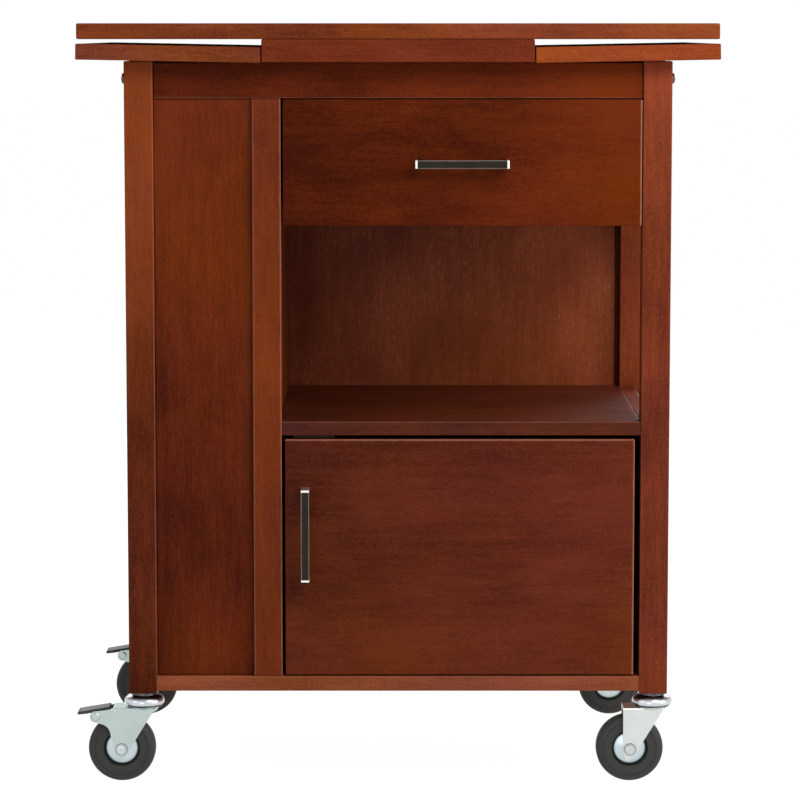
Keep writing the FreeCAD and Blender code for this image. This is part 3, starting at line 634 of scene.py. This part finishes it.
# What sets single boards apart from the rest. Their tone drift is painted light and shade, and their lighter
# named sides are painted highlights on lit arrises.
SPECIAL = {
    "front_left_leg": {"wear_and_edge_light": 0.35, "sides": "right", "painted_light_drift": (0, 0, 1.45), "gloss": 0.07, "figure": 0.75},
    "front_right_leg": {"wear_and_edge_light": 0.15, "sides": "left right", "painted_light_drift": (0, 0, 0.3)},
    "front_top_rail": {"wear_and_edge_light": 0.35, "sides": "bottom", "painted_light_drift": (0.8, 0, 0), "gloss": 0.05},
    "front_stile": {"wear_and_edge_light": 0.5, "sides": "left right", "painted_light_drift": (0, 0, 0.25)},
    "left_front_panel": {"painted_light_drift": (0, 0, 0.85), "gloss": 0.07},
    "right_lower_panel": {"wear_and_edge_light": 0.45, "sides": "left top"},
    "middle_shelf": {"wear_and_edge_light": 0.25, "sides": "right top", "painted_light_drift": (0, 0.9, 0)},
    "bottom_board": {"wear_and_edge_light": 0.15, "sides": "top"},
    "back_panel": {"painted_light_drift": (0.5, 0, 0), "figure": 0.85, "flecks": 0.7, "hue": 0.5},
    "centre_board": {"gloss": 0.07},
    "top_board": {"painted_light_drift": (0.45, 0, 0)},
    "right_leaf": {"gloss": 0.07},
    "drawer_front": {"wear_and_edge_light": 0.95, "sides": "right", "painted_light_drift": (1.6, 0, 0), "gloss": 0.05},
    "door_panel": {"wear_and_edge_light": 0.8, "sides": "right top", "painted_light_drift": (0.9, 0, -0.6), "gloss": 0.08},
}
for node, (stain, grain, start) in BOARDS.items():
    nodes[node].data.materials[0] = wood(node.replace("_", " "), grain, *STAIN[stain], start,
                                         box=box_of(nodes[node]), **SPECIAL.get(node, {}))

BARE_DEEP, BARE_PALE = (176, 138, 92), (214, 182, 136)
DRAWER_BOX = {"drawer_left_side": "Y", "drawer_right_side": "Y", "drawer_back": "X", "drawer_bottom": "X"}
for count, (node, grain) in enumerate(DRAWER_BOX.items()):
    start = (0.37 * count, 5.1 + 0.23 * count, 0.6 * count)
    nodes[node].data.materials[0] = wood(node.replace("_", " "), grain, BARE_DEEP, BARE_PALE, start,
                                         figure=0.8, gloss=0.3, hue=0.12)

chrome = chrome_with_painted_reflections("chrome dome, painted reflections")
zinc = metal("bright zinc", (196, 206, 206), 0.30, 0.42)
# One zinc for both forks, painted darker on the left and paler on the right: painted light and shade.
fork_zinc_lit_and_shaded = {"left": metal("fork zinc, left", (178, 191, 189), 0.30, 0.42),
             "right": metal("fork zinc, right", (208, 213, 209), 0.30, 0.42)}
# The axle bolts and pressed discs carry painted shade towards their rims.
bolt_zinc = {side: zinc_with_painted_rim_shade(f"axle bolt, {side}", x, (206, 211, 210), (104, 108, 108), 5.4, 6.9)
             for side, x in AXLE_X.items()}
disc_zinc = {side: zinc_with_painted_rim_shade(f"pressed disc, {side}", x, (198, 212, 216), (84, 98, 102), 16.3, 18.2)
             for side, x in AXLE_X.items()}
bronze = metal("bronzed bolt", (96, 72, 54), 0.28, 0.45)
slide_steel = metal("black slide steel", (52, 52, 52), 0.34, 0.5, "Y")
# Hinge and strike steel made near black to stand for the shade in the door's gap: painted shade.
hinge_steel_shade_dark = metal("hinge steel, painted shade", (30, 25, 22), 0.4, 0.55)
rubber = moulded("grey rubber", (56, 56, 53), 0.55, 0.72, 900.0, 0.05)
pad_plastic = moulded("pad plastic", (58, 58, 60), 0.48, 0.62, 1100.0, 0.05)
catch_plastic = moulded("catch plastic", (92, 58, 40), 0.42, 0.55, 900.0, 0.04)

for node, finish in {
    "castor_sockets": zinc, "case_drawer_runners": slide_steel, "drawer_slides": slide_steel,
    "hinge_arms": hinge_steel_shade_dark, "hinge_cups": hinge_steel_shade_dark, "door_strike": hinge_steel_shade_dark,
    "door_catch": catch_plastic,
}.items():
    nodes[node].data.materials[0] = finish


# --- castors ----------------------------------------------------------------------------------
# Each piece is drawn once, about the point where the wheel touches the floor, then copied to the legs.
FORK_OUT, FORK_IN, FORK_TOP = 16.2, 14.0, 86.0  # half its width outside and inside, the height of its crown
FORK_EYE = 28.25  # radius of its lower end, about the axle
FORK_BACK, FORK_FOOT = -8.0, 9.79  # its edge behind the axle, and its lowest point
PEDAL_PIVOT = (-29.1, 75.5)
TYRE_HALF = 12.0  # half the tyre's width


def turned_up(name, base, steps, centre=(TRAIL, 0)):
    """A drum whose top is drawn up in steps of (radius, height), as on a lathe."""
    radius, low, high = base
    piece = drum(name, radius, low, high, centre)
    open_up(piece)
    top = high
    for new_radius, new_top in steps:
        pick(piece, lambda f: f.normal.z > 0.9 and abs(middle(f).z - top) < 0.02)
        push(z=new_top - top)
        ratio = new_radius / radius
        resize_about((*centre, new_top), (ratio, ratio, 1))
        radius, top = new_radius, new_top
    lay_down()
    return piece


def make_dome():
    """The castor's stem with its bun-shaped dome and the kingpin that the fork turns on."""
    steps = [(21.0, 88.0), (22.0, 88.9), (22.6, 90.1), (22.8, 91.6), (22.5, 93.4), (21.7, 95.2), (20.4, 96.8),
             (18.7, 98.0), (16.9, 98.8), (15.5, 99.3), (15.0, 100.0), (14.8, 102.4)]
    dome = turned_up("dome", (19.6, 87.4, 87.55), steps)
    pin = drum("kingpin", 4.0, 83.6, 87.6, (TRAIL, 0), sides=32)
    head = drum("kingpin head", 7.0, 80.4, 83.4, (TRAIL, 0), sides=40)
    ease(head, 0.8)
    stem = drum("stem", 5.0, 102.0, 134.5, (TRAIL, 0), sides=32)
    whole = put_together("castor stem", [dome, pin, head, stem])
    smooth(whole, 40)
    return whole


def make_fork(braked):
    """A folded steel fork, cut from a block: outline first, then the fold, then the hollow."""
    fork = block("fork", (FORK_BACK, -FORK_OUT, FORK_FOOT), (42, FORK_OUT, FORK_TOP))
    slice_away(fork, (37.4, 0, 83.7), (0.8521, 0, -0.5234))
    pick(fork, lambda e: abs(middle(e).x - FORK_BACK) < 0.05 and abs(middle(e).z - FORK_FOOT) < 0.05, "edges")
    round_edges(FORK_EYE, 14)
    if braked:
        draw_out_cheeks(fork)
    pick(fork, lambda e: abs(abs(middle(e).y) - FORK_OUT) < 0.02 and middle(e).z > FORK_TOP - 0.1
         and abs(e.verts[0].co.x - e.verts[1].co.x) > 0.002, "edges")
    round_edges(2.6, 5)
    lay_down()
    hollow = block("hollow", (-60, -FORK_IN, 0), (60, FORK_IN, 83.5))
    open_up(hollow)
    pick(hollow, lambda e: middle(e).z > 83 and abs(middle(e).y) > 13, "edges")
    round_edges(0.9, 3)
    carve(fork, hollow)
    if braked:
        carve(fork, block("open end", (-60, -FORK_IN, 80), (-9, FORK_IN, 90)))
    ease(fork, 0.28)
    race = turned_up("race", (12.2, 79.3, 79.5), [
        (13.4, 80.1), (14.6, 81.2), (15.6, 82.8), (16.8, 84.4), (18.5, 85.6), (20.0, 86.1), (20.3, 86.5),
        (20.0, 86.9), (18.9, 87.0)])
    carve(race, drum("bore", 7.6, 70, 90, (TRAIL, 0), sides=48))
    parts = [fork, race]
    if braked:
        parts += make_pivot()
    whole = put_together("castor fork", parts)
    smooth(whole)
    return whole


def draw_out_cheeks(fork):
    """Draws the fork's back edge out, step by step, into the cheeks that carry the pedal."""
    for height in (WHEEL, 84.4):
        score((0, 0, height), (0, 0, 1))
    reach, low = FORK_BACK, WHEEL
    for x, bottom, top in ((-12.0, 53.5, 84.2), (-12.5, 57.4, 84.1), (-13.6, 60.6, 83.9), (-15.6, 63.4, 83.6),
                           (-18.2, 65.5, 83.2), (-21.2, 67.0, 82.7), (-29.1, 69.0, 81.8), (-35.5, 69.3, 81.7)):
        pick(fork, lambda f: f.normal.x < -0.4 and abs(middle(f).x - reach) < 0.3 and middle(f).z > low)
        push(x=x - reach)
        mesh = bmesh.from_edit_mesh(fork.data)
        for vertex in [v for v in mesh.verts if v.select]:
            vertex.co.x = x * MM
            vertex.co.z = (top if vertex.co.z > 75 * MM else bottom) * MM
        bmesh.update_edit_mesh(fork.data)
        reach, low = x, bottom
    pick(fork, lambda e: abs(middle(e).x - reach) < 0.05
         and abs(e.verts[0].co.z - e.verts[1].co.z) < 1e-6, "edges")
    round_edges(6.0, 7)


def make_pivot():
    """The pin that the pedal tilts on, with a dished head at either end."""
    x, z = PEDAL_PIVOT
    parts = [drum("pivot", 3.0, -FORK_OUT, FORK_OUT, PEDAL_PIVOT, "Y", 28)]
    for way in (-1, 1):
        ends = sorted((way * FORK_OUT, way * (FORK_OUT + 0.9)))
        button = drum("pivot head", 5.0, *ends, PEDAL_PIVOT, "Y", 40)
        open_up(button)
        for shrink, rise in ((0.95, 0.5), (0.82, 0.5), (0.72, 0.1), (0.97, -0.7)):
            pick(button, lambda f: f.normal.y * way > 0.9)
            push(y=way * rise)
            resize_about((x, way * 17, z), (shrink, 1, shrink))
        parts.append(button)
    return parts


def make_axle_bolt():
    """The axle with its dished head in front and its nut behind."""
    axle = drum("axle", 4.0, -FORK_OUT, FORK_OUT, (0, WHEEL), "Y", 32)
    head = drum("axle head", 7.0, -FORK_OUT - 1.3, -FORK_OUT, (0, WHEEL), "Y", 48)
    open_up(head)
    pick(head, lambda f: f.normal.y < -0.9)
    inset(0.7)
    for margin, rise in ((1.3, 0.7), (0.3, -1.7), (0.9, -0.25), (2.5, 1.3)):
        inset(margin)
        push(y=rise)
    lay_down()
    ease(head, 0.2)
    nut = drum("axle nut", 6.6, FORK_OUT, FORK_OUT + 4.0, (0, WHEEL), "Y", 6)
    ease(nut, 0.5)
    bolt = put_together("axle bolt", [axle, head, nut])
    smooth(bolt)
    return bolt


def make_tyre():
    """A solid rubber tyre: rounded tread, flat flanks and a sunk seat for the disc."""
    tyre = drum("castor tyre", WHEEL, -TYRE_HALF, TYRE_HALF, (0, WHEEL), "Y", 96)
    open_up(tyre)
    pick(tyre, lambda e: abs(abs(middle(e).y) - TYRE_HALF) < 0.01 and e.calc_length() < 0.004, "edges")
    round_edges(7.2, 9)
    for way in (-1, 1):
        pick(tyre, lambda f: f.normal.y * way > 0.99 and len(f.verts) > 8)
        for margin, rise in ((0.5, -0.5), (0.5, 0.7), (0.6, -0.2), (8.7, -7.4)):
            inset(margin)
            push(y=way * rise)
    for way in (-1, 1):
        pick(tyre, lambda e: abs(abs(middle(e).y) - TYRE_HALF) < 0.02
             and abs(math.hypot(middle(e).x, middle(e).z - WHEEL) - 20.6) < 0.5
             and middle(e).y * way > 0, "edges")
        round_edges(0.8, 3)
    lay_down()
    smooth(tyre)
    return tyre


def make_hub():
    """The pressed discs of the wheel with the boss that turns on the axle."""
    hub = drum("castor hub", 18.5, -6.8, 6.8, (0, WHEEL), "Y", 72)
    open_up(hub)
    for way in (-1, 1):
        for margin, rise in ((0.6, 0.3), (9.0, 2.2), (1.6, 1.4), (0.8, 2.9)):
            pick(hub, lambda f: f.normal.y * way > 0.99 and len(f.verts) > 8)
            inset(margin)
            nudge(y=way * rise)
    lay_down()
    ease(hub, 0.3, 2, 40)
    smooth(hub, 40)
    return hub


def make_pedal():
    """The brake's steel lever and the plastic pad pushed over its end."""
    pad = block("pad", (-50, -12, 77.4), (-13.2, 12, 81))
    open_up(pad)
    for x in (-48.5, -39, -33, -27):
        score((x, 0, 0), (1, 0, 0))
    mesh = bmesh.from_edit_mesh(pad.data)
    # Underside and upper side of the pad at each cut along it.
    lifts = {-50.0: (77.4, 79.9), -48.5: (77.3, 80.9), -39.0: (78.3, 82.5), -33.0: (79.7, 83.5),
             -27.0: (80.7, 84.5), -13.2: (83.0, 86.7)}
    for vertex in mesh.verts:
        x = min(lifts, key=lambda known: abs(known - vertex.co.x / MM))
        vertex.co.z = lifts[x][vertex.co.z > 79.5 * MM] * MM
    bmesh.update_edit_mesh(pad.data)
    pick(pad, lambda f: f.normal.z > 0.8 and -45 < middle(f).x < -14)
    inset(1.6)
    nudge(z=-0.45)
    lay_down()
    ease(pad, 0.9, 3, 30)
    smooth(pad, 40)
    lever = drum("brake lever", 5.8, -9, 9, PEDAL_PIVOT, "Y", 40)
    arm = block("arm", (-35, -9, 75), (-17, 9, 82.2))
    slice_away(arm, (-17, 0, 82.2), (-0.164, 0, 0.986))
    slice_away(arm, (-17, 0, 80.2), (0.63, 0, -0.78))
    lay_down()
    cam = block("cam", (-31.3, -8.4, 66.9), (-26.9, 8.4, 75))
    open_up(cam)
    bpy.ops.mesh.select_all(action="SELECT")
    pivot = Vector((PEDAL_PIVOT[0], 0, PEDAL_PIVOT[1])) * MM
    bpy.ops.transform.rotate(value=math.radians(37.9), orient_axis="Y", center_override=pivot)
    lay_down()
    ease(cam, 0.6)
    ease(arm, 0.4)
    lever = put_together("brake lever", [lever, arm, cam])
    smooth(lever)
    return pad, lever


dome = make_dome()
tyre = make_tyre()
hub = make_hub()
plain_fork = make_fork(False)
braked_fork = make_fork(True)
axle_bolt = make_axle_bolt()
pad, lever = make_pedal()
for end, y in (("front", -LEG_Y), ("rear", LEG_Y)):
    for side, way in (("left", -1), ("right", 1)):
        corner = f"{end}_{side}"
        swivel, wheel, pedal = (f"{corner}_{body}" for body in ("swivel", "wheel", "pedal"))
        fork = braked_fork if side == "left" else plain_fork
        fittings = [
            (dome, "dome_and_stem", "case", "castor_stem", "dome_chrome", chrome),
            (fork, "fork", swivel, "castor_fork", "fork_steel", fork_zinc_lit_and_shaded[side]),
            (axle_bolt, "axle_bolt", swivel, "castor_fork", "fork_steel", bolt_zinc[side]),
            (hub, "hub", wheel, "castor_hub", "hub_steel", disc_zinc[side]),
            (tyre, "tyre", wheel, "castor_tyre", "castor_tyre", rubber),
        ]
        if side == "left":
            fittings += [
                (pad, "brake_pad", pedal, "brake_pedal", "pedal_plastic", pad_plastic),
                (lever, "brake_lever", pedal, "brake_pedal", "fork_steel", zinc),
            ]
        for pattern, name, body, node, slot, finish in fittings:
            piece = copy_at(pattern, f"{corner}_{name}", (way * LEG_X - TRAIL, y, 0))
            fit(piece, body, f"{corner}_{node}", finish)
for pattern in (dome, tyre, hub, plain_fork, braked_fork, axle_bolt, pad, lever):
    bpy.data.objects.remove(pattern)


# --- pulls, bolts and retaining rails ----------------------------------------------------------
def make_pull(name, centre, upright, panel):
    """A square bar pull: a bar with a turned-in foot at each end, held by screws through the panel."""
    half, wide, stand = PULL_HALF, PULL_WIDE, PULL_STAND
    bar_thick, foot, screw_at = 6.5, 8.5, 48.0
    bar = block(name, (-half, -stand, -wide), (half, -stand + bar_thick, wide))
    open_up(bar)
    for x in (-half + foot, half - foot):
        score((x, 0, 0), (1, 0, 0))
    pick(bar, lambda f: f.normal.y > 0.9 and abs(middle(f).x) > half - foot)
    push(y=stand - bar_thick)
    lay_down()
    ease(bar, 0.9, 3)
    screws = []
    for x in (-screw_at, screw_at):
        screws.append(drum("pull screw", 2.0, 0, panel, (x, 0), "Y", 20))
        head = drum("pull screw head", 4.0, panel, panel + 1.8, (x, 0), "Y", 28)
        open_up(head)
        pick(head, lambda f: f.normal.y > 0.9)
        inset(2.4)
        push(y=-1.0)
        lay_down()
        ease(head, 0.4)
        screws.append(head)
    whole = put_together(name, [bar] + screws)
    smooth(whole)
    take(whole)
    whole.rotation_euler = (0, math.pi / 2 if upright else 0, 0)
    whole.location = Vector((centre[0], FRONT_FACE, centre[1])) * MM
    return fix_place(name)


fit(make_pull("drawer_bar_pull", DRAWER_PULL, False, 18), "drawer", "drawer_pull",
    bar_with_painted_highlights("nickel, painted reflections, across", DRAWER_PULL, False))
fit(make_pull("door_bar_pull", DOOR_PULL, True, 16), "door", "door_pull",
    bar_with_painted_highlights("nickel, painted reflections, upright", DOOR_PULL, True))


def make_bolts():
    """Domed frame bolts with a driving socket, and the cross nuts in the rails."""
    height, leg_face, nut_x = 797.0, 305.0, 241.0
    solids = []
    for way in (-1, 1):
        face = way * leg_face
        for y in (-188.0, 188.0):
            head = drum("bolt head", 6.2, *sorted((face, face + way * 0.6)), (y, height), "X", 48)
            open_up(head)
            for shrink, rise in ((0.97, 0.8), (0.9, 0.9), (0.78, 0.75), (0.62, 0.5)):
                pick(head, lambda f: f.normal.x * way > 0.9 and len(f.verts) > 8)
                push(x=way * rise)
                resize_about((face, y, height), (1, shrink, shrink))
            inset(0.35)
            push(x=-way * 1.6)
            lay_down()
            shank = drum("bolt shank", 3.0, *sorted((way * 233.0, face)), (y, height), "X", 28)
            nut = drum("cross nut", 5.0, y - 7, y + 7, (way * nut_x, height), "Y", 32)
            ease(nut, 0.5)
            solids += [head, shank, nut]
    bolts = put_together("frame_bolt_set", solids)
    smooth(bolts, 40)
    return bolts


fit(make_bolts(), "case", "frame_bolts", bronze)


RACK_RAIL_HEIGHTS = (170.5, 393.0, 608.0)


def make_rack_rails():
    """The three round rails that keep things on the rack's shelves."""
    rails = []
    for z in RACK_RAIL_HEIGHTS:
        rail = drum("rack rail", 5.0, -176, 176, (-285, z), "Y", 48)
        ease(rail, 0.8, 2, 40)
        rails.append(rail)
    rails = put_together("rack_retaining_rails", rails)
    smooth(rails, 40)
    return rails


fit(make_rack_rails(), "case", "rack_rails",
    wood("rack rail", "Y", *STAIN["leaf"], (1.3, 0.4, 0.9)))


# --- studio -----------------------------------------------------------------------------------
def background_rays(tree):
    """1 for rays that show the background itself: to the camera, in a gloss or through glass."""
    path = tree.add("ShaderNodeLightPath")
    seen = tree.maths("ADD", path.outputs["Is Camera Ray"], path.outputs["Is Glossy Ray"], clamp=True)
    return tree.maths("ADD", seen, path.outputs["Is Transmission Ray"], clamp=True)


def make_world():
    """Soft light from all around, with a white background."""
    world = bpy.data.worlds.new("studio")
    bpy.context.scene.world = world
    world.use_nodes = True
    tree = Tree(world.node_tree)
    light = world.node_tree.nodes["Background"]
    light.inputs["Color"].default_value = (1.0, 0.99, 0.98, 1.0)
    light.inputs["Strength"].default_value = 0.2
    white = tree.add("ShaderNodeBackground")
    white.inputs["Color"].default_value = (1, 1, 1, 1)
    white.inputs["Strength"].default_value = 1.0
    mix = tree.add("ShaderNodeMixShader")
    tree.link(background_rays(tree), mix.inputs[0])
    tree.link(light.outputs[0], mix.inputs[1])
    tree.link(white.outputs[0], mix.inputs[2])
    tree.link(mix.outputs[0], world.node_tree.nodes["World Output"].inputs["Surface"])


def make_floor():
    """A pale floor that shows as the white background, with the cart's own soft shadow on it."""
    lay_down()
    bpy.ops.mesh.primitive_circle_add(vertices=96, radius=40.0, fill_type="NGON", location=(0, 0, -0.0005))
    floor = fix_place("studio_floor")
    material, tree, shader, place = new_finish("pale floor")
    shade = tree.blend(tree.noise(place, 3.0), (0.88, 0.88, 0.88, 1.0), (0.9, 0.9, 0.9, 1.0))
    tree.link(shade, shader.inputs["Base Color"])
    shader.inputs["Roughness"].default_value = 0.9
    shader.inputs["Specular IOR Level"].default_value = 0.0
    glow = tree.add("ShaderNodeEmission")
    glow.inputs["Color"].default_value = (1, 1, 1, 1)
    glow.inputs["Strength"].default_value = 1.2
    mix = tree.add("ShaderNodeMixShader")
    tree.link(tree.maths("MULTIPLY", background_rays(tree), 0.8), mix.inputs[0])
    tree.link(shader.outputs[0], mix.inputs[1])
    tree.link(glow.outputs[0], mix.inputs[2])
    tree.link(mix.outputs[0], material.node_tree.nodes["Material Output"].inputs["Surface"])
    floor.data.materials.append(material)


# Name, place and size in metres, power in watts.
LAMPS = [
    ("key", (0.8, -1.4, 1.55), 0.7, 14.5),
    ("right", (2.2, -1.2, 1.0), 1.2, 19.0),
    ("front", (-0.9, -3.2, 0.7), 1.2, 6.0),
    ("left", (-2.2, -1.6, 1.2), 1.2, 3.5),
    ("overhead", (0.2, -0.5, 2.4), 1.6, 2.5),
    ("rear left", (-1.7, 2.7, 1.6), 1.4, 40.0),
    ("rear right", (1.7, 2.7, 1.6), 1.4, 40.0),
]
LIT_POINT = Vector((0, 0, 0.5))


def make_lamps():
    """Square soft boxes, all turned to the middle of the cart."""
    for name, place, size, power in LAMPS:
        light = bpy.data.lights.new(name, "AREA")
        light.shape = "SQUARE"
        light.size = size
        light.energy = power
        holder = bpy.data.objects.new(name, light)
        bpy.context.scene.collection.objects.link(holder)
        holder.location = place
        holder.rotation_euler = (LIT_POINT - Vector(place)).to_track_quat("-Z", "Y").to_euler()


def make_camera():
    """A long lens from a little below the top's level, looking slightly down as in the photo."""
    data = bpy.data.cameras.new("camera")
    camera = bpy.data.objects.new("camera", data)
    bpy.context.scene.collection.objects.link(camera)
    camera.location = (0.0021, -3.86, 0.850)
    camera.rotation_euler = (math.radians(90 - 6.427), 0, 0)
    data.lens = 147.6
    data.sensor_width = 36.0
    data.clip_start = 0.1
    data.clip_end = 200.0
    bpy.context.scene.camera = camera


make_world()
make_floor()
make_lamps()
make_camera()
bpy.context.scene.view_settings.view_transform = "Standard"
